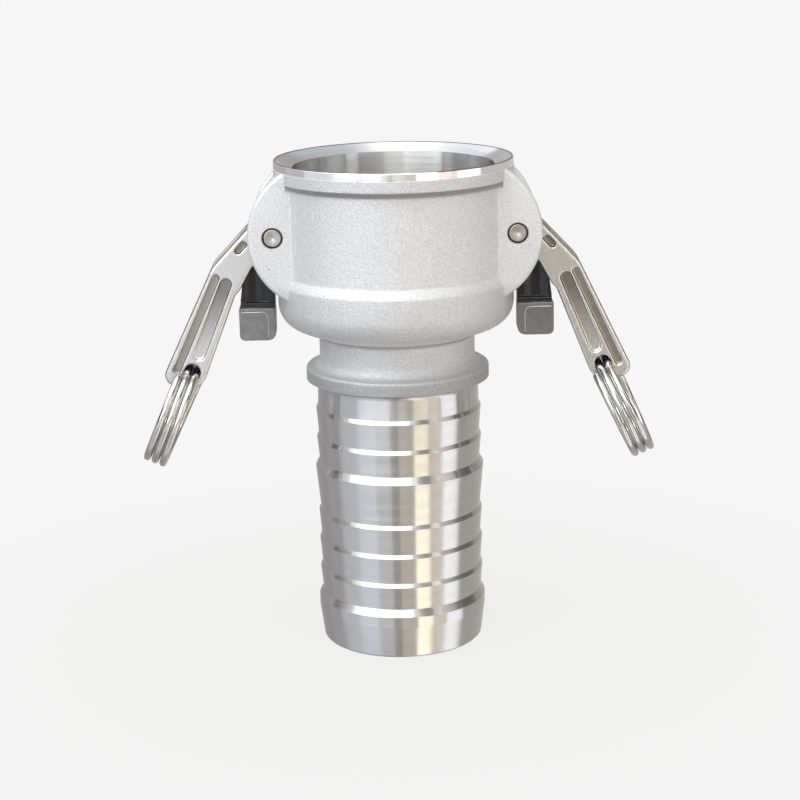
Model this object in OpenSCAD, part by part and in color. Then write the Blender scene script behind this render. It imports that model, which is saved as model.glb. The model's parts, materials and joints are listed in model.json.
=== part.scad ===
// Cam and groove coupling, 2 inch size: socket with two self-locking cam arms on a barbed hose shank.
// The origin is on the axis at the end of the hose shank. +Z points out of the socket's mouth, and
// the arms lie along X. The right side is modelled, and the left is the right turned by half a turn.

/* [Socket] */
// Diameter of the socket's bore
bore_d = 63.8; // [60:0.2:68]
// Height from the underside of the socket to its rim
socket_h = 53.8; // [50:0.2:60]
// Wall of the socket between its skirt and its band
socket_wall = 4.4; // [3.5:0.1:6]
// Floor of the socket, under the gasket
floor_t = 6.3; // [5:0.1:8]
// How far the skirt stands out from the wall
skirt_step = 1.4; // [0.6:0.1:2.5]
// Height of the skirt, from the underside to its cone
skirt_h = 15; // [12:0.5:18]
// Height of the cone that joins the skirt to the wall
skirt_cone_h = 3; // [1.5:0.5:5]
// Radius of the rounds at both edges of the cone
cone_round = 2; // [0.5:0.25:2.5]
// Radius of the round under the skirt
skirt_round = 8; // [4:0.5:9]
// How far the cast band stands out from the wall
band_step = 1.75; // [0.8:0.05:2.6]
// Height of the slope under the cast band
band_slope_h = 1.6; // [0.6:0.1:3]
// Height of the cast band
band_h = 3.7; // [2.5:0.1:5]
// Height of the turned band over the cast band
rim_h = 2.45; // [1.5:0.05:4]
// How far the turned band lies back from the cast band
rim_back = 0.15; // [0.05:0.05:0.4]
// Fall of the conical lead-in from the rim to the bore
lead_in_h = 2.5; // [1:0.1:4]

/* [Gasket] */
// Thickness of the gasket
gasket_t = 6.35; // [5:0.05:8]
// Inner diameter of the gasket
gasket_id = 50.8; // [47:0.2:54]
// Depth of the gasket's groove in the socket's wall
groove_depth = 1.7; // [1:0.1:2.5]
// Gap over and around the gasket
gasket_clear = 0.3; // [0.1:0.05:0.6]

/* [Hose shank] */
// Diameter of the shank at the foot of its barbs
shank_d = 52.1; // [50:0.1:54]
// Bore through the shank
shank_bore_d = 44.8; // [40:0.2:46]
// Distance from one barb to the next
barb_pitch = 9.7; // [8:0.1:12]
// How far a small barb stands out
barb_rise = 0.65; // [0.3:0.05:1]
// Height of a small barb's shoulder
barb_shoulder_h = 1.3; // [0.6:0.1:2]
// How far a large barb stands out
large_barb_rise = 1.3; // [0.8:0.05:1.8]
// Height of a large barb's shoulder
large_shoulder_h = 2.3; // [1.6:0.1:4]
// Length of the land under the lowest barb
last_land = 14.1; // [11:0.1:18]
// Length of the cylindrical part of that land
seat_len = 3.5; // [2:0.1:5]
// Length of the plain land between the two groups of barbs
mid_land = 15; // [11:0.5:20]
// Length of the land over the highest barb
top_land = 10; // [8:0.5:14]
// Chamfer at the end of the shank
end_chamfer = 0.6; // [0.2:0.1:1]

/* [Neck and collar] */
// Diameter of the neck
neck_d = 50; // [49:0.1:52]
// Height of the neck over the collar
neck_h = 12.8; // [11:0.2:16]
// Radius of the fillet between the neck and the socket
neck_round = 2.6; // [1.5:0.1:3.6]
// Diameter of the collar
collar_d = 58.9; // [56:0.1:62]
// Height of the collar's edge
collar_h = 4.2; // [3:0.1:5]
// Radius of the round on the collar's upper edge
collar_edge = 0.9; // [0.4:0.1:1.4]
// Radius of the fillet between the collar and the neck
collar_fillet = 3.2; // [1:0.1:4]
// Fall of the collar's underside towards the shank
collar_fall = 0.8; // [0.4:0.1:2]
// Radius of the fillet between the shank and the collar
collar_root = 1.5; // [0.5:0.1:2.5]

/* [Ears] */
// Distance of the pins from the bore
pin_setback = 6.2; // [5.8:0.1:7.5]
// Distance of the pins below the rim
pin_drop = 22.4; // [20:0.2:26]
// Radius of the ears' round outline
ear_r = 23.1; // [20:0.1:24]
// How far an ear reaches past its pin
ear_reach = 7.9; // [6:0.1:9]
// Thickness of one ear
ear_t = 7.4; // [6:0.1:9]
// Round on the ears' edges
ear_edge = 1.1; // [0.4:0.1:2]
// Radius of the fillet between an ear and the wall
ear_fillet = 1.6; // [0.8:0.1:2.4]
// How far the arm's window in the wall reaches over the pin
window_up = 7.8; // [7.4:0.1:9]
// How far the window reaches under the pin
window_down = 13.4; // [13:0.1:15]

/* [Pins] */
// Diameter of the arm pins
pin_d = 6; // [5:0.1:6.4]
// Radial gap between a pin and the ears
pin_fit = 0.03; // [0.02:0.01:0.05]
// Radial gap between a pin and what turns on it
pin_running_fit = 0.08; // [0.05:0.01:0.1]
// Chamfer on the pins and their holes
pin_chamfer = 0.4; // [0.2:0.1:0.6]

/* [Cam arms] */
// Length of an arm from its pin to its ring hole, along its slope
arm_len = 52; // [48:0.5:60]
// Distance of the ring hole from the slope through the pin
hole_side = 7.2; // [6.4:0.1:8]
// Width of an arm at its pin
arm_w = 17.9; // [16:0.1:19]
// Gap between an arm and an ear
arm_side_gap = 0.65; // [0.4:0.05:1]
// Width of an arm at its ring hole
arm_end_w = 13; // [12:0.1:14]
// Angle of the arms' slope at rest, from the vertical
arm_slope = 24; // [20:0.5:28]
// Round on the arms' edges
arm_edge = 0.9; // [0.4:0.1:1.2]
// Width of the slot that takes the lock lever
slot_w = 8.8; // [8.4:0.1:9.6]
// Length of the slot, from the pin
slot_len = 38.4; // [38:0.2:42]
// Width of the long pocket in an arm's face
pocket_w = 3.8; // [3:0.1:4.4]
// Depth of the long pocket
pocket_depth = 1.5; // [0.6:0.1:1.8]
// Width of the groove beside the outer rail
rail_groove_w = 2.4; // [1.2:0.1:2.6]
// Depth of that groove
rail_groove_depth = 0.9; // [0.4:0.1:1.2]
// Diameter of the ring hole
ring_hole_d = 5.5; // [5.3:0.1:6]

/* [Pull rings] */
// Diameter of the rings' wire
ring_wire_d = 2.3; // [1.8:0.1:2.4]
// Mean radius of a ring's turns
ring_r = 16.8; // [15:0.1:18]
// Distance between turns in the hole
ring_pitch_top = 2.42; // [2.4:0.01:2.5]
// Distance between turns at the bottom of a ring
ring_pitch_bottom = 2.7; // [2.5:0.05:3]
// Angle of the rings' lean, from the vertical
ring_lean = 24.5; // [20:0.5:28]
// Angle from the hole to a free end of the wire
ring_free_angle = 30; // [29:0.5:36]

/* [Lock levers] */
// Length of a lever below its pin
lever_len = 35.2; // [32:0.1:35.6]
// Reach of the thumb pad past the pin, away from the socket
pad_reach = 12.2; // [11:0.1:12.4]
// Width of the thumb pad
pad_w = 8; // [7:0.1:8.2]
// Height of the thumb pad
pad_h = 10.5; // [8:0.1:12]
// Width of the lever over its pad
lever_w = 6.2; // [5.4:0.1:6.6]
// Outer radius of the lever's eye
eye_r = 4.8; // [4.4:0.1:4.9]
// Gap between a lever and the side of the socket
lever_clear = 0.95; // [0.6:0.05:1.4]

/* [Lock springs] */
// Diameter of the spring's wire
spring_wire_d = 0.9; // [0.6:0.1:1]
// Number of turns
spring_turns = 3; // [2:1:4]

/* [Hidden] */
$fn = 96;
overcut = 1;

// Heights along the axis
collar_z = last_land + 5 * barb_pitch + mid_land + top_land;
collar_top_z = collar_z + collar_h;
underside_z = collar_top_z + neck_h;
floor_z = underside_z + floor_t;
skirt_top_z = underside_z + skirt_h;
rim_z = underside_z + socket_h;
band_top_z = rim_z - rim_h;
band_z = band_top_z - band_h;
pin_z = rim_z - pin_drop;

// Radii of the socket and the shank
bore_r = bore_d / 2;
wall_r = bore_r + socket_wall;
skirt_r = wall_r + skirt_step;
band_r = wall_r + band_step;
rim_r = band_r - rim_back;
groove_r = bore_r + groove_depth;
shank_r = shank_d / 2;
shank_bore_r = shank_bore_d / 2;
neck_r = neck_d / 2;
collar_r = collar_d / 2;

// Places of the pins and of what turns on them
pin_x = bore_r + pin_setback;
pin_r = pin_d / 2;
ear_gap = arm_w + 2 * arm_side_gap;
ear_outer_y = ear_gap / 2 + ear_t;
window_w = ear_gap + 0.2;
spring_r = pin_r + 0.4 + spring_wire_d / 2;
spring_pitch = spring_wire_d + 0.07;
slot_r = eye_r + 0.35;
bridge_angle = 4;

// Directions along an arm's slope at rest and square to it, outwards
slope_along = [sin(arm_slope), -cos(arm_slope)];
slope_across = [cos(arm_slope), sin(arm_slope)];
arm_taper = (arm_w - arm_end_w) / 2 / arm_len;
ring_y = arm_end_w / 2;
ring_lift = (ring_r - sqrt(ring_r * ring_r - ring_y * ring_y)) / 2;

// Colours
cast_steel = [0.78, 0.77, 0.75];
turned_steel = [0.72, 0.72, 0.73];
polished_steel = [0.8, 0.8, 0.82];
dark_steel = [0.22, 0.22, 0.23];
rubber = [0.09, 0.09, 0.09];

// Points of an arc round c, from angle a to angle b in n steps
function arc(c, r, a, b, n) = [for (i = [0 : n]) let (t = a + (b - a) * i / n) c + r * [cos(t), sin(t)]];

// A point of an arm at rest, seen from the pin: so far down the slope, and so far outwards
function on_arm(along, across) = along * slope_along + across * slope_across;
hole = on_arm(arm_len, hole_side);
rail_groove_in = 12.75 - rail_groove_w / 2;

function unit(v) = v / norm(v);
function left_of(v) = [-v[1], v[0]];
function turned(v, a) = [v[0] * cos(a) - v[1] * sin(a), v[0] * sin(a) + v[1] * cos(a)];

// A corner [x, y, radius, steps] of an outline that runs anticlockwise, moved inwards and rounded
function rounded_corner(before, corner, after, inset) =
  let (
    p = [corner[0], corner[1]],
    n0 = left_of(unit(p - [before[0], before[1]])),
    n1 = left_of(unit([after[0], after[1]] - p)),
    side = (n0 + n1) / (1 + n0 * n1),
    turn = atan2(n0[0] * n1[1] - n0[1] * n1[0], n0 * n1),
    s = turn > 0 ? 1 : -1,
    r = max(corner[2] - s * inset, 0.05),
    centre = p + side * (inset + s * r)
  )
  [for (i = [0 : corner[3]]) centre - s * r * turned(n0, turn * i / corner[3])];

// An outline with all its corners rounded
function rounded_outline(corners, inset = 0) =
  let (n = len(corners))
  [for (i = [0 : n - 1])
    each rounded_corner(corners[(i + n - 1) % n], corners[i], corners[(i + 1) % n], inset)];

// Twice the area of the triangle a, b, c, positive if it runs anticlockwise
function twice_area(a, b, c) = (b[0] - a[0]) * (c[1] - a[1]) - (b[1] - a[1]) * (c[0] - a[0]);
function in_triangle(a, b, c, p) =
  twice_area(a, b, p) >= 0 && twice_area(b, c, p) >= 0 && twice_area(c, a, p) >= 0;

// Cuts an anticlockwise outline into triangles, one corner after another. The list left holds the
// indices of the points that aren't cut off yet.
function three_at(left, k) = let (n = len(left)) [left[(k + n - 1) % n], left[k], left[(k + 1) % n]];
function can_cut(p, t, left) =
  twice_area(p[t[0]], p[t[1]], p[t[2]]) > 0
  && len([for (i = left) if (i != t[0] && i != t[1] && i != t[2]
    && in_triangle(p[t[0]], p[t[1]], p[t[2]], p[i])) i]) == 0;
function first_cut(p, left, k = 0) =
  k >= len(left) || can_cut(p, three_at(left, k), left) ? k : first_cut(p, left, k + 1);
function cut_to_triangles(p, left) =
  len(left) == 3 ? [left]
    : let (k = first_cut(p, left))
      concat([three_at(left, k)], cut_to_triangles(p, [for (i = [0 : len(left) - 1]) if (i != k) left[i]]));

// Lofts rings of points, which all have the same number of points, into a closed solid. An end that
// isn't convex is given in triangles.
module loft(rings, triangles) {
  n = len(rings[0]);
  m = len(rings);
  end = is_undef(triangles) ? [[for (i = [0 : n - 1]) i]] : triangles;
  sides = [for (j = [0 : m - 2]) for (i = [0 : n - 1])
    let (k = (i + 1) % n, a = j * n + i, b = j * n + k, c = a + n, d = b + n)
    each [[a, b, c], [b, d, c]]];
  ends = [for (face = end) each [[for (i = [len(face) - 1 : -1 : 0]) face[i]],
    [for (i = face) (m - 1) * n + i]]];
  polyhedron(points = [for (ring = rings) each ring], faces = concat(sides, ends), convexity = 6);
}

// Round wire along a path, with narrowed ends. The axis vector is never parallel to the path.
module wire(path, axis, d, sides) {
  last = len(path) - 1;
  loft([for (i = [0 : last])
    let (
      along = unit(path[min(i + 1, last)] - path[max(i - 1, 0)]),
      u = unit(cross(along, axis)),
      v = cross(u, along),
      r = d / 2 * (i == 0 || i == last ? 0.6 : 1)
    )
    [for (k = [0 : sides - 1]) let (t = 360 * k / sides) path[i] + r * (cos(t) * u + sin(t) * v)]]);
}

// Moves the right side's pieces to their pin, and makes the left side from the right
module at_pin() translate([pin_x, 0, pin_z]) children();
module left_side() rotate([0, 0, 180]) children();

// A plate in the plane of the arm's swing, from an outline given from the pin
module swing_plate(w) rotate([90, 0, 0]) linear_extrude(height = w, center = true) children();

// A round bar across the plate, along Y
module cross_bar(r, w) rotate([90, 0, 0]) cylinder(r = r, h = w, center = true);

// Height of the barb's edge and whether it is a large one, counted from the end of the shank
function barb_z(i) = last_land + i * barb_pitch + (i > 3 ? mid_land - barb_pitch : 0);
function barb_profile(i) =
  i == 0 || i == 4
    ? [[shank_r + large_barb_rise, barb_z(i)], [shank_r, barb_z(i) + large_shoulder_h]]
    : [[shank_r + barb_rise, barb_z(i)], [shank_r, barb_z(i) + barb_shoulder_h]];

// The cone between the skirt and the wall, with a round at both of its edges
function cone_points() =
  let (
    lean = atan(skirt_step / skirt_cone_h),
    cut = cone_round * tan(lean / 2)
  )
  concat(arc([skirt_r - cone_round, skirt_top_z - cut], cone_round, 0, lean, 3),
    arc([wall_r + cone_round, skirt_top_z + skirt_cone_h + cut], cone_round, 180 + lean, 180, 3));

// Outer profile of the body, from the end of the shank up to the rim
function body_profile() =
  let (
    root_z = collar_z - collar_fall - collar_root,
    root_r = shank_r - 0.1 + collar_root,
    fillet = min(collar_fillet, collar_r - neck_r - collar_edge - 0.1)
  )
  concat(
  [[shank_r - end_chamfer, 0], [shank_r, end_chamfer],
   [shank_r + large_barb_rise, last_land - seat_len]],
  [for (i = [0 : 6]) each barb_profile(i)],
  arc([root_r, root_z], collar_root, 180, 105, 4),
  [[collar_r, collar_z]],
  arc([collar_r - collar_edge, collar_top_z - collar_edge], collar_edge, 0, 90, 4),
  arc([neck_r + fillet, collar_top_z + fillet], fillet, 270, 180, 7),
  arc([neck_r + neck_round, underside_z - neck_round - 1.4], neck_round, 180, 105, 5),
  arc([skirt_r - skirt_round, underside_z + skirt_round], skirt_round, -84, 0, 12),
  cone_points(),
  [[wall_r, band_z - band_slope_h], [band_r - 0.3, band_z], [band_r, band_z + 0.3], [band_r, band_top_z - 0.1],
   [rim_r, band_top_z], [rim_r, rim_z - 0.3], [rim_r - 0.3, rim_z]]);

// Inner profile, from the rim down to the end of the shank
function bore_profile() = concat(
  [[bore_r, rim_z - lead_in_h], [bore_r, floor_z + gasket_t + gasket_clear],
   [groove_r, floor_z + gasket_t + gasket_clear], [groove_r, floor_z]],
  arc([shank_bore_r + 2, floor_z - 2], 2, 90, 180, 5),
  [[shank_bore_r, end_chamfer], [shank_bore_r + end_chamfer, 0]]);

// One ear, round about an axis behind its pin, with rounded edges
module ear_disc() {
  half = ear_t / 2;
  translate([pin_x + ear_reach - ear_r, ear_gap / 2 + half, pin_z]) rotate([90, 0, 0])
    rotate_extrude($fn = 180)
      polygon(concat([[0, -half]], arc([ear_r - ear_edge, -half + ear_edge], ear_edge, -90, 0, 5),
        arc([ear_r - ear_edge, half - ear_edge], ear_edge, 0, 90, 5), [[0, half]]));
}

// Fillet where an ear's outer face meets the wall. Its ends are inside the skirt and the cast band.
module ear_fillet_bar() {
  centre_y = ear_outer_y + ear_fillet;
  centre_r = wall_r + ear_fillet;
  centre_x = sqrt(centre_r * centre_r - centre_y * centre_y);
  translate([0, 0, skirt_top_z]) linear_extrude(height = band_z + 1 - skirt_top_z)
    polygon(concat([[centre_x, ear_outer_y - 0.6]],
      arc([centre_x, centre_y], ear_fillet, -90, atan2(centre_y, centre_x) - 180, 6),
      [[centre_x - 2, ear_outer_y - 0.6]]));
}

module pin_hole(y) {
  translate([pin_x, y, pin_z]) cross_bar(pin_r + pin_fit, ear_t + 2 * overcut);
  translate([pin_x, y + sign(y) * ear_t / 2, pin_z]) rotate([sign(y) * 90, 0, 0])
    translate([0, 0, -overcut]) cylinder(r1 = pin_r + pin_fit + pin_chamfer + overcut,
      r2 = pin_r + pin_fit - 0.02, h = pin_chamfer + overcut + 0.02);
}

// Everything inside the gasket's groove, the bore and over the lead-in cone
module socket_space() {
  top = rim_z + 2 * overcut;
  groove_top = floor_z + gasket_t + gasket_clear;
  rotate_extrude($fn = 180)
    polygon([[0, floor_z + 0.5], [groove_r, floor_z + 0.5], [groove_r, groove_top], [bore_r, groove_top],
      [bore_r, rim_z - lead_in_h], [rim_r - 0.3, rim_z], [rim_r - 0.3, top], [0, top]]);
}

module arm_window() {
  translate([shank_bore_r, -window_w / 2, pin_z - window_down])
    cube([band_r - shank_bore_r + overcut, window_w, window_down + window_up]);
}

module body() {
  ear_y = ear_gap / 2 + ear_t / 2;
  color(cast_steel)
  difference() {
    union() {
      rotate_extrude($fn = 180) polygon(concat(body_profile(), bore_profile()));
      for (turn = [0, 180]) rotate([0, 0, turn]) for (flip = [0, 1]) mirror([0, flip, 0]) {
        difference() {
          ear_disc();
          translate([-bore_d, 0, 0]) cube([bore_d + bore_r * 0.8, bore_d, 2 * rim_z]);
        }
        ear_fillet_bar();
      }
    }
    socket_space();
    for (turn = [0, 180]) rotate([0, 0, turn]) {
      arm_window();
      pin_hole(ear_y);
      pin_hole(-ear_y);
    }
  }
}

module gasket() {
  outer = groove_r - gasket_clear;
  inner = gasket_id / 2;
  edge = 0.8;
  color(rubber)
  translate([0, 0, floor_z]) rotate_extrude($fn = 128)
    polygon([[inner, edge], [inner + edge, 0], [outer, 0], [outer, gasket_t],
      [inner + edge, gasket_t], [inner, gasket_t - edge]]);
}

module arm_pin() {
  half = ear_outer_y - pin_chamfer;
  dimple = 0.7;
  color(polished_steel)
  at_pin() rotate([90, 0, 0]) rotate_extrude()
    polygon([[0, dimple / 2 - half], [dimple, -half], [pin_r - pin_chamfer, -half],
      [pin_r, pin_chamfer - half], [pin_r, half - pin_chamfer], [pin_r - pin_chamfer, half],
      [dimple, half], [0, half - dimple / 2]]);
}

// Half the arm's width at a point of its outline
function arm_half_w(p) = arm_w / 2 - arm_taper * (p * slope_along);

// The arm's outline at rest, anticlockwise from the cam's tip: [x, z, radius, steps]
arm_corners = [
  [-4.9, -12.6, 2.5, 6],
  [1.6, -10.6, 3, 3],
  [3.9, -8.6, 1.2, 3],
  [7.1, -10.4, 2.4, 2],
  concat(on_arm(21, 3), [3, 1]),
  concat(on_arm(23.2, 3.8), [3, 2]),
  concat(on_arm(arm_len + 3, 2.3), [4.5, 9]),
  concat(on_arm(arm_len + 8.8, 15.3), [3.6, 8]),
  concat(on_arm(18.2, 14), [9, 4]),
  [3.6, 6.6, 4.5, 6],
  [-5.7, 6.9, 5.3, 8],
  [-5.7, -4.5, 12, 1],
];

// The arm before its slot and pockets, with rounded edges and sides that draw in towards the end
module arm_blank() {
  steps = 3;
  rounds = [for (i = [0 : steps]) arm_edge * [1 - sin(90 * i / steps), 1 - cos(90 * i / steps)]];
  levels = concat([for (q = rounds) [q[0], q[1], -1]], [for (i = [0 : steps]) [rounds[steps - i][0],
    rounds[steps - i][1], 1]]);
  face = rounded_outline(arm_corners, arm_edge);
  loft([for (level = levels) [for (p = rounded_outline(arm_corners, level[0]))
    [p[0], level[2] * (arm_half_w(p) - level[1]), p[1]]]],
    cut_to_triangles(face, [for (i = [0 : len(face) - 1]) i]));
}

// A pocket with round ends in one face of the arm, between two points of its outline's plane
module face_pocket(from, to, w, depth, side) {
  run = norm(to - from);
  lean = atan2(to[0] - from[0], from[1] - to[1]);
  tilt = atan(arm_taper * cos(lean - arm_slope));
  translate([from[0], side * arm_half_w(from), from[1]]) rotate([0, -lean, 0]) rotate([-side * tilt, 0, 0]) {
    for (z = [0, -run]) translate([0, 0, z]) cross_bar(w / 2, 2 * depth, $fn = 32);
    translate([-w / 2, -depth, -run]) cube([w, 2 * depth, run]);
  }
}

// The slot between the arm's two cheeks. Over the pin a bridge joins them.
module arm_slot() {
  far = 80;
  swing_plate(slot_w) polygon([[0, 0], far * [cos(bridge_angle), sin(bridge_angle)],
    on_arm(slot_len, far), on_arm(slot_len, -far), [-far, 0], [-far, far / 2], [0, far / 2]]);
  cross_bar(slot_r, slot_w);
}

module arm() {
  color(cast_steel)
  at_pin() difference() {
    arm_blank();
    arm_slot();
    cross_bar(pin_r + pin_running_fit, arm_w + 2 * overcut);
    translate([hole[0], 0, hole[1]]) cross_bar(ring_hole_d / 2, arm_w);
    for (side = [-1, 1]) {
      face_pocket(on_arm(21, 7.9), on_arm(arm_len - 6.2, 7.2), pocket_w, pocket_depth, side);
      face_pocket(on_arm(20.4, rail_groove_in), on_arm(arm_len + 1.5, rail_groove_in + 0.4), rail_groove_w,
        rail_groove_depth, side);
      face_pocket([9.6, -3.2], [11.4, -5.2], 2.2, pocket_depth, side);
    }
  }
}

// The lever's outline, anticlockwise from its foot near the socket
function lever_corners() =
  let (inner_x = skirt_r + lever_clear - pin_x, ledge_z = pad_h - lever_len)
  [[inner_x, -lever_len, 2.4, 5], [pad_reach, -lever_len, 1.6, 5], [pad_reach, ledge_z, 0.8, 4],
   [pad_reach - 0.6, ledge_z + 0.4, 0.4, 2], [pad_reach - 0.6, ledge_z + 2.4, 2, 3],
   [pad_reach - 1.6, -15, 3, 3], [eye_r - 0.5, -1.9, 1.5, 3], [inner_x, -1.9, 0.3, 2]];

module lock_lever() {
  inner_x = skirt_r + lever_clear - pin_x;
  ledge_z = pad_h - lever_len;
  eye_w = lever_w / 2 - 0.4;
  hollow_r = 9;
  hollow = 0.8;
  color(dark_steel)
  at_pin() difference() {
    union() {
      swing_plate(lever_w) polygon(rounded_outline(lever_corners()));
      intersection() {
        swing_plate(pad_w) polygon(rounded_outline(lever_corners()));
        translate([inner_x - overcut, -pad_w, -lever_len - overcut])
          cube([pad_reach * 2, 2 * pad_w, pad_h + overcut]);
      }
      intersection() {
        swing_plate((lever_w + pad_w) / 2) polygon(rounded_outline(lever_corners()));
        translate([inner_x - overcut, -pad_w, -lever_len]) cube([pad_reach * 2, 2 * pad_w, pad_h + 1.7]);
      }
      translate([0, lever_w / 2 - eye_w / 2, 0]) cross_bar(eye_r, eye_w);
    }
    cross_bar(pin_r + pin_running_fit, pad_w + 2 * overcut);
    translate([0, -lever_w / 2 - overcut + (lever_w - eye_w + overcut) / 2, 0])
      cross_bar(slot_r, lever_w - eye_w + overcut);
    for (side = [-1, 1]) translate([inner_x + 6, side * (lever_w / 2 + hollow_r - hollow), ledge_z + 1.7])
      cylinder(r = hollow_r, h = lever_len);
  }
}

// Turns of the lock spring round the pin, with one leg along the lever and one towards the socket
module lock_spring() {
  first_y = slot_w / 2 - spring_wire_d / 2 - 0.35;
  leg = 9;
  steps = 24;
  total = 360 * spring_turns + 180;
  coil = [for (i = [0 : steps * total / 360]) let (t = 360 * i / steps)
    [spring_r * cos(t), -first_y + spring_pitch * t / 360, spring_r * sin(t)]];
  color(turned_steel)
  at_pin() wire(concat([coil[0] - [0, 0, leg], coil[0] - [0, 0, leg - 0.3], coil[0] - [0, 0, 0.8]], coil,
    [coil[len(coil) - 1] - [0, 0, 0.8], coil[len(coil) - 1] - [0, 0, leg - 0.3],
     coil[len(coil) - 1] - [0, 0, leg]]), [0, 1, 0], spring_wire_d, 8);
}

// How far along the ring's axis the wire lies, for an angle counted over all its turns. It runs
// straight through the hole, so the change from one turn to the next comes outside the arm.
function ring_offset(t) =
  let (
    turn = t / 360,
    passes = floor(turn + 0.5),
    part = turn - passes,
    flat = 0.08,
    moved = sign(part) * max(0, abs(part) - flat) / (0.5 - flat) / 2,
    pitch = ring_pitch_top + (ring_pitch_bottom - ring_pitch_top) * (1 - cos(t)) / 2
  )
  (passes + moved - 1.5) * pitch;

// Nearly three turns of wire. Two of them pass through the arm's hole.
module pull_ring() {
  steps = 36;
  down = [sin(ring_lean), 0, -cos(ring_lean)];
  axis = [cos(ring_lean), 0, sin(ring_lean)];
  angles = concat([ring_free_angle, ring_free_angle + 1.2], [for (i = [4 : 3 * steps - 4]) i * 360 / steps],
    [1080 - ring_free_angle - 1.2, 1080 - ring_free_angle]);
  color(polished_steel)
  at_pin() translate([hole[0], 0, hole[1]])
    wire([for (t = angles) axis * ring_offset(t) + down * (ring_r * (1 - cos(t)) - ring_lift)
      + [0, -ring_r * sin(t), 0]], axis, ring_wire_d, 10);
}

module right_arm_pin() arm_pin();
module left_arm_pin() left_side() arm_pin();
module right_arm() arm();
module left_arm() left_side() arm();
module right_lock_lever() lock_lever();
module left_lock_lever() left_side() lock_lever();
module right_lock_spring() lock_spring();
module left_lock_spring() left_side() lock_spring();
module right_pull_ring() pull_ring();
module left_pull_ring() left_side() pull_ring();

body();
gasket();
right_arm_pin();
left_arm_pin();
right_arm();
left_arm();
right_lock_lever();
left_lock_lever();
right_lock_spring();
left_lock_spring();
right_pull_ring();
left_pull_ring();
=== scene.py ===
"""Dresses the cam and groove coupling.

The castings and turned parts are the CAD solids, merged and given finishes. The pull rings, the
lock springs and the line on each thumb pad are wires carried along paths worked out with numpy.
Their sizes are in millimetres, and each mesh is turned into metres as it is made. The studio's
sizes are in metres. The frame is the CAD's: +Z out of the socket, arms along X."""
import json
import math

import bmesh
import bpy
import numpy as np
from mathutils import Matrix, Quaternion, Vector


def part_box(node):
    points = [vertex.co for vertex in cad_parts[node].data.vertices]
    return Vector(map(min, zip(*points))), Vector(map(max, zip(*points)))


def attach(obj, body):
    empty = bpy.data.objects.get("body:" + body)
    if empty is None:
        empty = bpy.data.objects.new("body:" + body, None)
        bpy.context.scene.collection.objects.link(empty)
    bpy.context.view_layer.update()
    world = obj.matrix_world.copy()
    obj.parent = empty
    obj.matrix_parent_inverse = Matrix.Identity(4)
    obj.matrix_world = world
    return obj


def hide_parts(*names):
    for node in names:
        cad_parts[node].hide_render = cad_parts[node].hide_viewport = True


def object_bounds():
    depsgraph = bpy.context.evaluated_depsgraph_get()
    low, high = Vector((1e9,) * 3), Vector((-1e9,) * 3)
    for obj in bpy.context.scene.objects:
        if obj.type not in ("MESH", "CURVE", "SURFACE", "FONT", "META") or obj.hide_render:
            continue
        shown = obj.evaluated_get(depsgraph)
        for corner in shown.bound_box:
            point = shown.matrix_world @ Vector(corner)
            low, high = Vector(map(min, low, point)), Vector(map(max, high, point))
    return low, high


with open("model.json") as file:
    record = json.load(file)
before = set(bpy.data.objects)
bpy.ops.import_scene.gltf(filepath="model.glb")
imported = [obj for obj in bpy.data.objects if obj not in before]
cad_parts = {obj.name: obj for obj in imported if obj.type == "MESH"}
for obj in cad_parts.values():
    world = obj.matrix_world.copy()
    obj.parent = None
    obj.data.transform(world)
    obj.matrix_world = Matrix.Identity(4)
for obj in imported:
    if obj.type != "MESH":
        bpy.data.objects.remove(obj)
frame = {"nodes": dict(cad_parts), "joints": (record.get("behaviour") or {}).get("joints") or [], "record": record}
cad_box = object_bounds()

MM = 0.001
BACKGROUND = (0.9216, 0.9216, 0.9216)
SIDES = (("right", 1.0), ("left", -1.0))
joint_place = {joint["name"]: np.array(joint["pos_m"]) / MM for joint in frame["joints"]}
mount_of = {mount["name"]: mount for mount in frame["record"]["mounts"]}
hinge_x, _, hinge_z = (float(value) for value in joint_place["right_arm_hinge"])
floor_low = float(cad_box[0].z)

# Heights and radii where the body's finish changes
bore_r = mount_of["socket_mouth"]["dims"]["r_mm"]
groove_r = bore_r + 2.2
turned_band_r = bore_r + 6.3
rim_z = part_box("body")[1].z / MM
turned_band_low_z = rim_z - 2.47
cast_band_low_z = rim_z - 6.15
socket_floor_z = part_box("gasket")[0].z / MM
NECK_TOP_Z = 104.6
SHANK_TOP_Z = 86.9
SHANK_BORE_R = 22.8
PIN_R = 3.0
# A ring on the rim's top painted dark, a painted reflection of a small chamfer at its edge, from
# one radius to another
RIM_EDGE_REFLECTION = (turned_band_r - 1.05, turned_band_r - 0.45)
# How much darker the casting is at each height: the collar most, which is painted shade for the
# dimmer light low down, then a little darker at the foot of the socket and on the band under the rim
SHADE_AND_TONE_BY_HEIGHT = ((84.0, 0.42), (90.6, 0.42), (92.6, 0.02), (104.0, 0.02), (106.0, 0.1), (119.0, 0.08),
        (121.0, 0.0), (151.0, 0.0), (152.4, 0.07), (158.4, 0.07))
# Corners painted with shade, under the band and at the neck's top. Each is its greatest radius,
# and the heights where its painted shade starts, is at its full depth and ends.
SHADED_CORNERS = ((bore_r + 5.85, cast_band_low_z - 2.3, cast_band_low_z - 1.3, cast_band_low_z - 0.02),
           (26.0, NECK_TOP_Z - 3.4, NECK_TOP_Z - 2.0, NECK_TOP_Z + 0.02))
# The most painted shade that a corner gets
CORNER_SHADE_DEPTH = 0.65
BLACK = (0.0, 0.0, 0.0)
# Painted shade for corners, grime round pins, painted dark reflection for the rim's edge
CORNER_SHADE_TONE, GRIME_TONE, EDGE_REFLECTION_TONE = (0.2, 0.18, 0.165), (0.02, 0.018, 0.016), (0.16, 0.17, 0.19)
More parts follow.
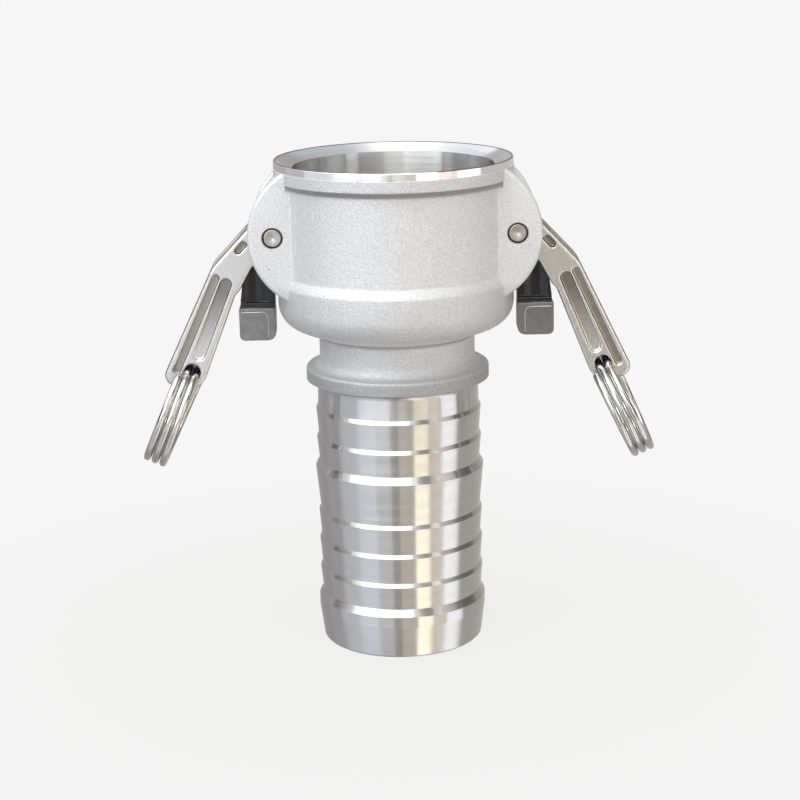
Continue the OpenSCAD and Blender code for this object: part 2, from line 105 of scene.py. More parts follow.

# An arm's lean from upright, its length from pin to ring hole, its half width at both, the stretch
# of its length over which its pocket's painted shade gives way to a lighter tone, and how far out
# the pocket reaches
ARM_LEAN = math.radians(24)
ARM_LEN = 52.0
HALF_W_AT_PIN, HALF_W_AT_HOLE = 8.95, 6.5
POCKET_SHADE_FROM, POCKET_SHADE_TO = 24.0, 46.0
POCKET_OUT = 9.8
LEVER_LEN, PAD_H = 35.2, 10.5
lever_ledge_z = hinge_z - LEVER_LEN + PAD_H

RING_WIRE_D, SPRING_WIRE_D, PAD_LINE_D = 2.3, 0.9, 0.42
MERGE_DISTANCE = 0.002
# Degrees past which an edge is sharp
TURNED_SHARP, BODY_SHARP, CASTING_SHARP, GASKET_SHARP, PIN_SHARP = 5, 20, 40, 40, 30


# Meshes

def new_piece(name, mesh, body, slot, *materials):
    """Puts a mesh in the scene as a piece that rides on a body."""
    piece = bpy.data.objects.new(name, mesh)
    bpy.context.scene.collection.objects.link(piece)
    for material in materials:
        mesh.materials.append(material)
    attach(piece, body)
    return piece


def surface_mesh(name, points):
    """A tube from a grid of points, rows along it and columns round it, in millimetres.

    Each row is a closed loop, and quads join row i to row i + 1. The two end rows are closed with
    a fan round their middle point."""
    rows, columns = points.shape[:2]
    grid = np.arange(rows * columns).reshape(rows, columns)
    after = np.roll(grid, -1, axis=1)
    quads = np.stack([grid[:-1], after[:-1], after[1:], grid[1:]], axis=-1).reshape(-1, 4)
    ends = np.stack([points[0].mean(axis=0), points[-1].mean(axis=0)])
    vertices = np.concatenate([points.reshape(-1, 3), ends])
    first_end = np.full(columns, rows * columns)
    fan_start = np.stack([first_end, after[0], grid[0]], axis=-1)
    fan_end = np.stack([first_end + 1, grid[-1], after[-1]], axis=-1)
    mesh = bpy.data.meshes.new(name)
    mesh.from_pydata((vertices * MM).tolist(), [],
                     quads.tolist() + fan_start.tolist() + fan_end.tolist())
    mesh.shade_smooth()
    return mesh


def wire_surface(path, across, diameter, around=20, rounding=6):
    """Points of a round wire along a path, with domed ends.

    At each point of the path the section is a circle in the plane of u, which is square to the
    path and to the vector across, and v, which is square to both. The first and last few rows
    close over a quarter circle, so that the ends are domed."""
    tangent = np.gradient(path, axis=0)
    tangent /= np.linalg.norm(tangent, axis=1)[:, None]
    u = np.cross(tangent, across)
    u /= np.linalg.norm(u, axis=1)[:, None]
    v = np.cross(u, tangent)
    turn = np.radians(np.linspace(6, 90, rounding))
    dome_r = np.sin(turn) * diameter / 2
    dome_in = (1 - np.cos(turn)) * diameter / 2
    start = path[0] + tangent[0] * dome_in[:, None]
    end = path[-1] - tangent[-1] * dome_in[::-1][:, None]
    start_keep = np.linalg.norm(path - path[0], axis=1) > diameter / 2
    end_keep = np.linalg.norm(path - path[-1], axis=1) > diameter / 2
    keep = start_keep & end_keep
    path = np.concatenate([start, path[keep], end])
    radius = np.concatenate([dome_r, np.full(keep.sum(), diameter / 2), dome_r[::-1]])
    u, v = (np.concatenate([np.repeat(vector[:1], rounding, 0), vector[keep],
                            np.repeat(vector[-1:], rounding, 0)]) for vector in (u, v))
    angle = np.linspace(0, 2 * np.pi, around, endpoint=False)[None, :, None]
    section = np.cos(angle) * u[:, None] + np.sin(angle) * v[:, None]
    return path[:, None] + section * radius[:, None, None]


def merged_copy(node, name, sharp_angle, turned_below_z=None):
    """The CAD node's mesh with its loose triangles merged, smooth but for edges over an angle.
    Below a height, where one is given, edges over TURNED_SHARP are sharp, as turned ones are."""
    mesh = frame["nodes"][node].data.copy()
    mesh.name = name
    mesh.materials.clear()
    form = bmesh.new()
    form.from_mesh(mesh)
    bmesh.ops.remove_doubles(form, verts=form.verts, dist=MERGE_DISTANCE * MM)
    for edge in form.edges:
        middle_z = (edge.verts[0].co.z + edge.verts[1].co.z) / 2 / MM
        is_turned = turned_below_z and middle_z < turned_below_z
        limit = TURNED_SHARP if is_turned else sharp_angle
        edge.smooth = edge.calc_face_angle(0.0) < math.radians(limit)
    form.to_mesh(mesh)
    form.free()
    mesh.polygons.foreach_set("use_smooth", np.ones(len(mesh.polygons), dtype=bool))
    return mesh


def turn_normals(mesh, turned_faces):
    """Gives turned faces the normals of the round surface that they stand for.

    A face keeps its own slope along Z, and at each corner its normal points straight away from the
    Z axis or towards it, whichever the face does."""
    count = len(mesh.polygons)
    normal, centre = np.empty((2, count * 3))
    mesh.polygons.foreach_get("normal", normal)
    mesh.polygons.foreach_get("center", centre)
    normal, centre = normal.reshape(-1, 3), centre.reshape(-1, 3)
    place = np.empty(len(mesh.vertices) * 3)
    mesh.vertices.foreach_get("co", place)
    corner_vertex = np.empty(len(mesh.loops), dtype=np.int64)
    mesh.loops.foreach_get("vertex_index", corner_vertex)
    corners = np.empty(count, dtype=np.int64)
    mesh.polygons.foreach_get("loop_total", corners)
    face_of = np.repeat(np.arange(count), corners)
    spot = place.reshape(-1, 3)[corner_vertex][:, :2]
    outwards = spot / np.maximum(np.linalg.norm(spot, axis=1), 1e-9)[:, None]
    facing = np.sign((normal[:, :2] * centre[:, :2]).sum(axis=1))[face_of]
    level = np.sqrt(np.maximum(0, 1 - normal[:, 2] ** 2))[face_of]
    exact = np.concatenate([outwards * (facing * level)[:, None], normal[face_of, 2:]], axis=1)
    exact[~turned_faces[face_of]] = 0.0
    mesh.normals_split_custom_set(exact.tolist())


# Nodes that finishes and studio share

def math_node(tree, kind, *values):
    """One sum, with a number or another node's socket for each value."""
    node = tree.nodes.new("ShaderNodeMath")
    node.operation = kind
    for socket, value in zip(node.inputs, values):
        if isinstance(value, (int, float)):
            socket.default_value = value
        else:
            tree.links.new(value, socket)
    return node.outputs[0]


def blend_node(tree, fac, a, b):
    """A mix of two colours, a where fac is nought and b where it is one."""
    node = tree.nodes.new("ShaderNodeMix")
    node.data_type = "RGBA"
    sockets = [socket for socket in node.inputs if socket.enabled]
    for socket, value in zip(sockets, (fac, a, b)):
        if isinstance(value, tuple):
            socket.default_value = (*value, 1.0)
        else:
            tree.links.new(value, socket)
    return next(socket for socket in node.outputs if socket.enabled)


def ramp_node(tree, fac, stops, steps=False):
    """Colours along a factor, each stop as (place, (r, g, b)). In steps, each holds to the next."""
    node = tree.nodes.new("ShaderNodeValToRGB")
    node.color_ramp.interpolation = "CONSTANT" if steps else "LINEAR"
    tree.links.new(fac, node.inputs["Fac"])
    elements = node.color_ramp.elements
    while len(elements) < len(stops):
        elements.new(0.5)
    for element, (place, colour) in zip(elements, stops):
        element.position = place
        element.color = (*colour, 1.0)
    return node.outputs["Color"]


# Finishes

def times(tone, factor):
    """A colour made lighter or darker, and no lighter than white."""
    return tuple(min(1.0, part * factor) for part in tone)


class Finish:
    """A material's nodes, built from left to right. A call that makes a colour, a value or a place
    gives its socket, and the others set the shader."""

    def __init__(self, name):
        self.material = bpy.data.materials.new(name)
        self.material.use_nodes = True
        self.tree = self.material.node_tree
        self.tree.nodes.clear()
        self.shader = self.tree.nodes.new("ShaderNodeBsdfPrincipled")
        self.output = self.tree.nodes.new("ShaderNodeOutputMaterial")
        self.link(self.shader.outputs[0], self.output.inputs["Surface"])
        self.place = self.tree.nodes.new("ShaderNodeTexCoord").outputs["Object"]

    def link(self, source, socket):
        self.tree.links.new(source, socket)

    def colour(self, source):
        self.link(source, self.shader.inputs["Base Color"])

    def roughness(self, source):
        self.link(source, self.shader.inputs["Roughness"])

    def scaled(self, *scale):
        node = self.tree.nodes.new("ShaderNodeMapping")
        node.inputs["Scale"].default_value = scale
        self.link(self.place, node.inputs["Vector"])
        return node.outputs["Vector"]

    def noise(self, size_mm, detail=2.0, roughness=0.5, stretch=(1, 1, 1)):
        """Noise whose grains are about size_mm across, drawn out along an axis by stretch."""
        node = self.tree.nodes.new("ShaderNodeTexNoise")
        node.inputs["Scale"].default_value = 1.0
        node.inputs["Detail"].default_value = detail
        node.inputs["Roughness"].default_value = roughness
        each = 1.0 / (size_mm * MM)
        self.link(self.scaled(*(each / along for along in stretch)), node.inputs["Vector"])
        return node.outputs["Fac"]

    def cells(self, size_mm):
        """Distance from the middle of cells of about size_mm, in parts of their size."""
        node = self.tree.nodes.new("ShaderNodeTexVoronoi")
        node.inputs["Scale"].default_value = 1.0 / (size_mm * MM)
        self.link(self.place, node.inputs["Vector"])
        return node.outputs["Distance"]

    def parts(self):
        """The place's x, y and z in millimetres."""
        split = self.tree.nodes.new("ShaderNodeSeparateXYZ")
        self.link(self.scaled(1 / MM, 1 / MM, 1 / MM), split.inputs[0])
        return split.outputs

    def math(self, kind, *values):
        return math_node(self.tree, kind, *values)

    def blend(self, fac, a, b):
        return blend_node(self.tree, fac, a, b)

    def ramp(self, fac, *stops):
        return ramp_node(self.tree, fac, stops)

    def span(self, fac, low, high, to_low=0.0, to_high=1.0):
        """Takes a value between low and high to one between to_low and to_high."""
        node = self.tree.nodes.new("ShaderNodeMapRange")
        self.link(fac, node.inputs["Value"])
        ends = (("From Min", low), ("From Max", high), ("To Min", to_low), ("To Max", to_high))
        for key, value in ends:
            node.inputs[key].default_value = value
        return node.outputs["Result"]

    def distance(self, a, b):
        """The root of a squared and b squared together."""
        squares = (self.math("POWER", a, 2.0), self.math("POWER", b, 2.0))
        return self.math("SQRT", self.math("ADD", *squares))

    def between(self, value, low, high):
        return self.math("MULTIPLY", self.math("GREATER_THAN", value, low),
                         self.math("LESS_THAN", value, high))

    def from_axis(self):
        """Distance from the Z axis in millimetres."""
        x, y, _ = self.parts()
        return self.distance(x, y)

    def from_pins(self):
        """Distance in millimetres from the axis of the nearer pin. Both pins lie along Y, at plus
        and minus one X, so the distance is taken from (|x|, z)."""
        x, _, z = self.parts()
        out = self.math("SUBTRACT", self.math("ABSOLUTE", x), hinge_x)
        return self.distance(out, self.math("SUBTRACT", z, hinge_z))

    def painted_corner_shade(self):
        """How much painted shade a place gets in one of the corners, from 0 to the greatest depth."""
        r, z = self.from_axis(), self.parts()["Z"]
        total = 0.0
        for most_r, start, full, end in SHADED_CORNERS:
            within = self.math("MULTIPLY", self.math("LESS_THAN", r, most_r),
                               self.math("LESS_THAN", z, end))
            depth = self.span(z, start, full, to_high=CORNER_SHADE_DEPTH)
            total = self.math("ADD", self.math("MULTIPLY", within, depth), total)
        return total

    def by_height(self, stops):
        """A value that changes with height, from stops of (height, value)."""
        low, high = stops[0][0], stops[-1][0]
        fac = self.span(self.parts()["Z"], low, high)
        return self.ramp(fac, *(((z - low) / (high - low), (value,) * 3) for z, value in stops))

    def bump(self, height, depth_mm):
        node = self.tree.nodes.new("ShaderNodeBump")
        node.inputs["Distance"].default_value = depth_mm * MM
        self.link(height, node.inputs["Height"])
        self.link(node.outputs["Normal"], self.shader.inputs["Normal"])

    def set(self, **values):
        """Sets the shader's own sockets by their names."""
        for key, value in values.items():
            socket = self.shader.inputs[key.replace("_", " ").title()]
            socket.default_value = (*value, 1.0) if isinstance(value, tuple) else value

    def along_axis(self):
        """Stretches the gloss along Z, as fine turning marks round the Z axis do."""
        node = self.tree.nodes.new("ShaderNodeTangent")
        node.direction_type = "RADIAL"
        node.axis = "Z"
        self.link(node.outputs["Tangent"], self.shader.inputs["Tangent"])


def cast_steel(name, tone):
    """Blasted stainless casting: fine grain, soft cloudiness, a few small dark pits, painted shade in
    the corners under the band and at the neck's top, darker by height with painted shade at the
    collar, and grime in the joint round each pin."""
    finish = Finish(name)
    grain = finish.noise(0.68, detail=3.0, roughness=0.62)
    cloud = finish.span(finish.noise(9.0, detail=2.0), 0.3, 0.7, to_high=0.35)
    pits = finish.span(finish.cells(6.5), 0.018, 0.05)
    speckle = finish.ramp(grain, (0.33, times(tone, 0.85)), (0.64, times(tone, 1.06)))
    clouded = finish.blend(cloud, speckle, times(tone, 0.93))
    pitted = finish.blend(pits, times(tone, 0.35), clouded)
    # Painted shade in the corners under the band and at the neck's top
    shaded = finish.blend(finish.painted_corner_shade(), pitted, CORNER_SHADE_TONE)
    # Darker by height: painted shade at the collar, a little darker tone lower on the socket and band
    shaded = finish.blend(finish.by_height(SHADE_AND_TONE_BY_HEIGHT), shaded, BLACK)
    grime = finish.span(finish.from_pins(), PIN_R + 0.1, PIN_R + 0.5, 1.0, 0.0)
    finish.colour(finish.blend(grime, shaded, GRIME_TONE))
    finish.roughness(finish.span(grain, 0.3, 0.7, 0.68, 0.5))
    finish.bump(grain, 0.22)
    finish.set(metallic=0.5)
    return finish.material


def turned_steel(name, tone, roughness, edge=None):
    """Turned stainless steel: fine marks round the Z axis that draw reflections out along it.
    Between the two radii of an edge it is painted dark, a painted reflection of a small chamfer."""
    finish = Finish(name)
    lines = finish.noise(0.18, detail=2.0, roughness=0.7, stretch=(40, 40, 1))
    wide = finish.noise(1.6, detail=1.0, stretch=(30, 30, 1))
    tone_at = finish.ramp(lines, (0.3, times(tone, 0.95)), (0.7, times(tone, 1.03)))
    if edge:
        # A painted dark reflection between the edge's two radii
        edge_reflection = finish.between(finish.from_axis(), *edge)
        tone_at = finish.blend(edge_reflection, tone_at, EDGE_REFLECTION_TONE)
    finish.colour(tone_at)
    finish.roughness(finish.span(wide, 0.3, 0.7, roughness * 0.9, roughness * 1.12))
    finish.bump(lines, 0.003)
    finish.set(metallic=1.0, anisotropic=1.0, anisotropic_rotation=0.25)
    finish.along_axis()
    return finish.material


def polished_wire(name, tone, roughness):
    """Bright drawn wire, with faint rubbed patches."""
    finish = Finish(name)
    rubbed = finish.noise(2.2, detail=3.0)
    finish.colour(finish.ramp(rubbed, (0.3, times(tone, 0.9)), (0.7, tone)))
    finish.roughness(finish.span(rubbed, 0.3, 0.7, roughness * 1.5, roughness * 0.8))
    finish.set(metallic=1.0)
    return finish.material


def shaded_hollow_tones(finish, face_tone, pocket_top_shade, pocket_foot_lit, groove):
    """An arm's tone: that of its faces, and under them the browner ones of the long pocket and of
    the groove beside the outer rail, partly unworn casting and partly painted shade. The pocket is
    painted from shade at its top to a lighter tone at its foot.

    Length along the arm and distance across it come from (|x|, z) turned by the arm's lean. Its
    half width tapers along it, so the depth under its face is the half width there less |y|."""
    x, y, z = finish.parts()
    out = finish.math("SUBTRACT", finish.math("ABSOLUTE", x), hinge_x)
    down = finish.math("SUBTRACT", hinge_z, z)
    length = finish.math("ADD", finish.math("MULTIPLY", out, math.sin(ARM_LEAN)),
                         finish.math("MULTIPLY", down, math.cos(ARM_LEAN)))
    across = finish.math("SUBTRACT", finish.math("MULTIPLY", out, math.cos(ARM_LEAN)),
                         finish.math("MULTIPLY", down, math.sin(ARM_LEAN)))
    half_w = finish.span(length, 0.0, ARM_LEN, HALF_W_AT_PIN, HALF_W_AT_HOLE)
    depth = finish.math("SUBTRACT", half_w, finish.math("ABSOLUTE", y))
    # The pocket is painted from shade at its top to a lighter tone at its foot
    pocket = finish.blend(finish.span(length, POCKET_SHADE_FROM, POCKET_SHADE_TO), pocket_top_shade, pocket_foot_lit)
    hollow = finish.blend(finish.math("LESS_THAN", across, POCKET_OUT), groove, pocket)
    return finish.blend(finish.span(depth, 0.25, 0.75), face_tone, hollow)


def satin_steel(name, tone, hollow_shades=None):
    """Tumbled stainless casting: softer and smoother than the body, with fine scratches. Hollow shades
    are the tones of an arm's pocket, at its top and foot, and of its groove, partly painted shade."""
    finish = Finish(name)
    grain = finish.noise(0.7, detail=3.0)
    scratches = finish.noise(0.35, detail=2.0, stretch=(1, 1, 8))
    tone_at = finish.ramp(grain, (0.3, times(tone, 0.92)), (0.7, tone))
    if hollow_shades:
        tone_at = shaded_hollow_tones(finish, tone_at, *hollow_shades)
    finish.colour(tone_at)
    finish.roughness(finish.span(scratches, 0.3, 0.7, 0.27, 0.4))
    finish.bump(grain, 0.02)
    finish.set(metallic=0.95)
    return finish.material


def lever_black_with_pad_sheen(name, black, grey):
    """Black-finished lever: glossy black over the ledge, and under it the thumb pad painted greyer as
    a painted sheen. The pad is told apart by its height."""
    finish = Finish(name)
    pad = finish.span(finish.parts()["Z"], lever_ledge_z + 0.1, lever_ledge_z - 0.1)
    ripple = finish.noise(1.8, detail=2.0)
    hollow = finish.span(ripple, 0.3, 0.7, 0.25, 0.0)
    # The pad's grey is a painted sheen on the black
    finish.colour(finish.blend(hollow, finish.blend(pad, black, grey), BLACK))
    gloss = finish.span(ripple, 0.3, 0.7, 0.24, 0.16)
    finish.roughness(finish.math("ADD", gloss, finish.math("MULTIPLY", pad, 0.1)))
    finish.bump(ripple, 0.004)
    finish.set(metallic=0.55)
    return finish.material


def nitrile_rubber(name):
    """Moulded black rubber, dull, with a fine bloom."""
    finish = Finish(name)
    bloom = finish.noise(1.2, detail=3.0)
    finish.colour(finish.ramp(bloom, (0.3, (0.012, 0.012, 0.013)), (0.7, (0.03, 0.03, 0.031))))
    finish.roughness(finish.span(bloom, 0.3, 0.7, 0.5, 0.7))
    finish.bump(bloom, 0.02)
    return finish.material


cast = cast_steel("Blasted casting", (0.773, 0.781, 0.8))
turned = turned_steel("Turned steel", (0.575, 0.57, 0.56), 0.21)
# The rim's top carries a painted dark reflection at its edge
rim_steel = turned_steel("Faced rim", (0.91, 0.915, 0.92), 0.17, edge=RIM_EDGE_REFLECTION)
# A lighter copy of the turned steel: painted light against the shade deep in the socket
bore_steel_lightened = turned_steel("Bored socket", (0.86, 0.86, 0.855), 0.2)
pin_steel = satin_steel("Pin steel", (0.50, 0.48, 0.46))
# The arm's pocket and groove tones are partly painted shade, darkest at the pocket's top
arm_steel = satin_steel("Arm casting", (0.68, 0.67, 0.655),
                        hollow_shades=((0.26, 0.24, 0.215), (0.63, 0.62, 0.60), (0.33, 0.31, 0.28)))
ring_wire = polished_wire("Bright ring wire", (0.58, 0.57, 0.555), 0.15)
spring_wire = polished_wire("Spring wire", (0.6, 0.6, 0.6), 0.25)
# The lever's thumb pad is painted grey as a sheen
lever_finish = lever_black_with_pad_sheen("Lever steel", (0.035, 0.035, 0.038), (0.30, 0.30, 0.305))
lever_line = polished_wire("Pad line", (0.5, 0.5, 0.51), 0.25)
gasket_rubber = nitrile_rubber("Gasket rubber")


# Pieces

def dress_body():
    """The casting with its turned faces. A face is turned where it lies below the collar, in the
    socket's bore, or on the rim. The shank's sharp edges reach a little into the collar, the bore
    a little under its floor, and the rim's own face a little down from the rim."""
    into_collar, under_floor, rim_face_depth = 0.5, 3.0, 0.2
    mesh = merged_copy("body", "coupling_body", BODY_SHARP,
                       turned_below_z=SHANK_TOP_Z + into_collar)
    piece = new_piece("coupling_body", mesh, "coupling", "cast_body",
                      cast, turned, rim_steel, bore_steel_lightened)
    centres = np.empty(len(mesh.polygons) * 3)
    mesh.polygons.foreach_get("center", centres)
    x, y, z = (centres / MM).reshape(-1, 3).T
    r = np.hypot(x, y)
    shank = z < SHANK_TOP_Z
    inside = (r < groove_r) & (z > socket_floor_z - under_floor) | (r < SHANK_BORE_R)
    rim = (z > turned_band_low_z) & (r < turned_band_r)
    bore = inside & ~shank & ~(rim & (z > rim_z - rim_face_depth))
    index = np.where(bore, 3, np.where(rim, 2, np.where(shank, 1, 0))).astype(np.int32)
    mesh.polygons.foreach_set("material_index", index)
    turn_normals(mesh, index > 0)
    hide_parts("body")


def dress_casting(node, piece_name, body, slot, material, grid_mm, rounds):
    """A merged copy of a CAD node whose edges are cast round: it is remeshed on a fine grid, and
    its points are drawn towards their neighbours a few times."""
    mesh = merged_copy(node, piece_name, CASTING_SHARP)
    piece = new_piece(piece_name, mesh, body, slot, material)
    grid = piece.modifiers.new("Fine grid", "REMESH")
    grid.mode = "VOXEL"
    grid.voxel_size = grid_mm * MM
    grid.use_smooth_shade = True
    easing = piece.modifiers.new("Cast rounds", "SMOOTH")
    easing.factor = 0.5
    easing.iterations = rounds
    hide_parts(node)


def dress_node(node, piece_name, body, slot, material, sharp_angle, bevel_mm):
    """A merged copy of a CAD node with its edges eased."""
    mesh = merged_copy(node, piece_name, sharp_angle)
    piece = new_piece(piece_name, mesh, body, slot, material)
    easing = piece.modifiers.new("Eased edges", "BEVEL")
    easing.width = bevel_mm * MM
    easing.segments = 3
    easing.limit_method = "ANGLE"
    easing.angle_limit = math.radians(sharp_angle)
    easing.harden_normals = True
    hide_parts(node)


def ring_path(side):
    """Centre line of a pull ring, and the axis that it is wound round.

    The wire winds nearly three turns of radius ring_r round an axis that leans with the arm. The
    turn angle t runs from one free end to the other, and the shift along the axis grows by one
    pitch per turn, all of it outside the arm's hole."""
    ring_r, turns, free_end, points = 16.8, 3, 30.0, 330
    lean = math.radians(24.5)
    hole_pitch, bottom_pitch, straight = 2.42, 2.7, 0.08
    lift = (ring_r - math.sqrt(ring_r ** 2 - HALF_W_AT_HOLE ** 2)) / 2
    t = np.linspace(free_end, 360 * turns - free_end, points)
    turn = t / 360
    passes = np.floor(turn + 0.5)
    part = turn - passes
    moved = np.sign(part) * np.maximum(0, np.abs(part) - straight) / (0.5 - straight) / 2
    t = np.radians(t)
    pitch = hole_pitch + (bottom_pitch - hole_pitch) * (1 - np.cos(t)) / 2
    shift = (passes + moved - turns / 2) * pitch
    down = np.array([math.sin(lean), 0, -math.cos(lean)])
    axis = np.array([math.cos(lean), 0, math.sin(lean)])
    path = (axis * shift[:, None] + down * (ring_r * (1 - np.cos(t)) - lift)[:, None]
            + np.array([0, -1, 0]) * (ring_r * np.sin(t))[:, None])
    half_turn = np.array([side, side, 1.0])
    return (path + joint_place["right_ring_hinge"]) * half_turn, axis * half_turn


def spring_path(side):
    """Centre line of a lock spring: three and a half turns round the pin, with a straight leg down
    from each end."""
    coil_r, pitch, first_y, turns, points = 3.85, 0.97, 3.6, 3.5, 170
    leg, leg_start, leg_points = 9.0, 0.4, 24
    t = np.linspace(0, 2 * np.pi * turns, points)
    along = -first_y + pitch * t / (2 * np.pi)
    coil = np.stack([coil_r * np.cos(t), along, coil_r * np.sin(t)], axis=1)
    drop = np.linspace(leg, leg_start, leg_points)[:, None] * np.array([0, 0, -1.0])
    path = np.concatenate([coil[0] + drop, coil, coil[-1] + drop[::-1]])
    return (path + joint_place["right_arm_hinge"]) * np.array([side, side, 1.0])


def pad_line_path(side, face):
    """Centre line of the raised line on a thumb pad.

    It starts at the pad's outer edge, runs inwards under the ledge, turns down through a quarter
    circle and runs down to the foot. It lies on the face of the pad, on the camera's side where
    face is -1."""
    outer_x, inner_x, corner_r, pad_half_w = 11.6, 2.9, 1.8, 4.0
    high, low, points = -26.0, -34.2, 12
    run = np.linspace(outer_x, inner_x + corner_r, points)
    turn = np.radians(np.linspace(90, 180, points - 2))[1:-1]
    fall = np.linspace(high - corner_r, low, points)
    turn_x = inner_x + corner_r + corner_r * np.cos(turn)
    turn_z = high - corner_r + corner_r * np.sin(turn)
    x = np.concatenate([run, turn_x, np.full(points, inner_x)])
    z = np.concatenate([np.full(points, high), turn_z, fall])
    path = np.stack([x, np.full(len(x), face * pad_half_w), z], axis=1)
    return (path + joint_place["right_arm_hinge"]) * np.array([side, side, 1.0])


dress_body()
dress_node("gasket", "gasket_ring", "coupling", "gasket", gasket_rubber, GASKET_SHARP,
           bevel_mm=0.3)
along_y = np.array([0, 1.0, 0])
for side, sign in SIDES:
    dress_node(f"{side}_arm_pin", f"{side}_pivot_pin", "coupling", "pin", pin_steel, PIN_SHARP,
               bevel_mm=0.12)
    dress_casting(f"{side}_arm", f"{side}_cam_arm", f"{side}_arm", "cam_arm", arm_steel,
                  grid_mm=0.27, rounds=3)
    dress_casting(f"{side}_lock_lever", f"{side}_thumb_lever", f"{side}_lock", "lock_lever",
                  lever_finish, grid_mm=0.2, rounds=5)
    for face, place in ((-1, "front"), (1, "back")):
        name = f"{side}_{place}_pad_line"
        line = wire_surface(pad_line_path(sign, face), along_y, PAD_LINE_D, around=10)
        new_piece(name, surface_mesh(name, line), f"{side}_lock", "lock_lever", lever_line)
    name = f"{side}_wire_ring"
    ring_mesh = surface_mesh(name, wire_surface(*ring_path(sign), RING_WIRE_D))
    ring = new_piece(name, ring_mesh, f"{side}_ring", "pull_ring", ring_wire)
    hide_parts(f"{side}_pull_ring")
    name = f"{side}_torsion_spring"
    coil = wire_surface(spring_path(sign), along_y, SPRING_WIRE_D, around=12)
    spring = new_piece(name, surface_mesh(name, coil), "coupling", "spring", spring_wire)
    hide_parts(f"{side}_lock_spring")


# Studio

def flat_sheet(name, low_corner, high_corner, height, material):
    """A level rectangle that faces up, in metres."""
    (x0, y0), (x1, y1) = low_corner, high_corner
    mesh = bpy.data.meshes.new(name)
    mesh.from_pydata([(x, y, height) for x, y in ((x0, y0), (x1, y0), (x1, y1), (x0, y1))],
                     [], [(0, 1, 2, 3)])
    mesh.materials.append(material)
    sheet = bpy.data.objects.new(name, mesh)
    bpy.context.scene.collection.objects.link(sheet)
    return sheet


def seen_ray(tree):
    """One for rays of the camera, of gloss and of clear stuff, and nought for diffuse light."""
    ray = tree.nodes.new("ShaderNodeLightPath").outputs
    clear = math_node(tree, "MAXIMUM", ray["Is Glossy Ray"], ray["Is Transmission Ray"])
    return math_node(tree, "MAXIMUM", ray["Is Camera Ray"], clear)


def studio_floor():
    """A wide pale floor. Near the object it takes light and shadow; farther out it goes over into
    the background's own white, which it has in full past 0.2 m."""
    finish = Finish("Pale floor")
    finish.set(base_color=(0.40, 0.375, 0.34), roughness=0.9)
    length = finish.tree.nodes.new("ShaderNodeVectorMath")
    length.operation = "LENGTH"
    finish.link(finish.place, length.inputs[0])
    far = finish.span(length.outputs["Value"], 0.03, 0.2, 0.88, 1.0)
    white = finish.tree.nodes.new("ShaderNodeEmission")
    white.inputs["Color"].default_value = (*BACKGROUND, 1.0)
    mix = finish.tree.nodes.new("ShaderNodeMixShader")
    finish.link(finish.math("MULTIPLY", far, seen_ray(finish.tree)), mix.inputs["Fac"])
    finish.link(finish.shader.outputs[0], mix.inputs[1])
    finish.link(white.outputs[0], mix.inputs[2])
    finish.link(mix.outputs[0], finish.output.inputs["Surface"])
    floor = flat_sheet("floor", (-FLOOR_REACH,) * 2, (FLOOR_REACH,) * 2, floor_low,
                       finish.material)
    floor.visible_glossy = False


def studio_sheet(name, low_corner, high_corner, shade):
    """A sheet that lies on the floor and only shows in reflections."""
    material = bpy.data.materials.new(name)
    material.use_nodes = True
    material.cycles.emission_sampling = "NONE"
    tree = material.node_tree
    tree.nodes.clear()
    glow = tree.nodes.new("ShaderNodeEmission")
    glow.inputs["Color"].default_value = (*(part / max(shade) for part in shade), 1.0)
    glow.inputs["Strength"].default_value = max(shade)
    output = tree.nodes.new("ShaderNodeOutputMaterial")
    tree.links.new(glow.outputs[0], output.inputs["Surface"])
    sheet = flat_sheet(name, low_corner, high_corner, floor_low + SHEET_LIFT, material)
    sheet.visible_camera = False
    sheet.visible_shadow = False
    sheet.visible_diffuse = False


def soft_lamp(name, azimuth, elevation, distance, size, radiance, colour=(1, 1, 1),
              in_gloss=True):
    """An area lamp that faces the coupling. Its power is worked out from the radiance of its face.
    One that isn't in gloss gives light without a highlight."""
    a, e = math.radians(azimuth), math.radians(elevation)
    back = Vector((math.sin(a) * math.cos(e), -math.cos(a) * math.cos(e), math.sin(e)))
    data = bpy.data.lights.new(name, "AREA")
    data.shape = "RECTANGLE"
    data.size, data.size_y = size
    data.energy = radiance * math.pi * size[0] * size[1]
    data.color = colour
    lamp = bpy.data.objects.new(name, data)
    lamp.location = LAMP_TARGET + back * distance
    lamp.rotation_euler = (-back).to_track_quat("-Z", "Y").to_euler()
    lamp.visible_glossy = in_gloss
    bpy.context.scene.collection.objects.link(lamp)


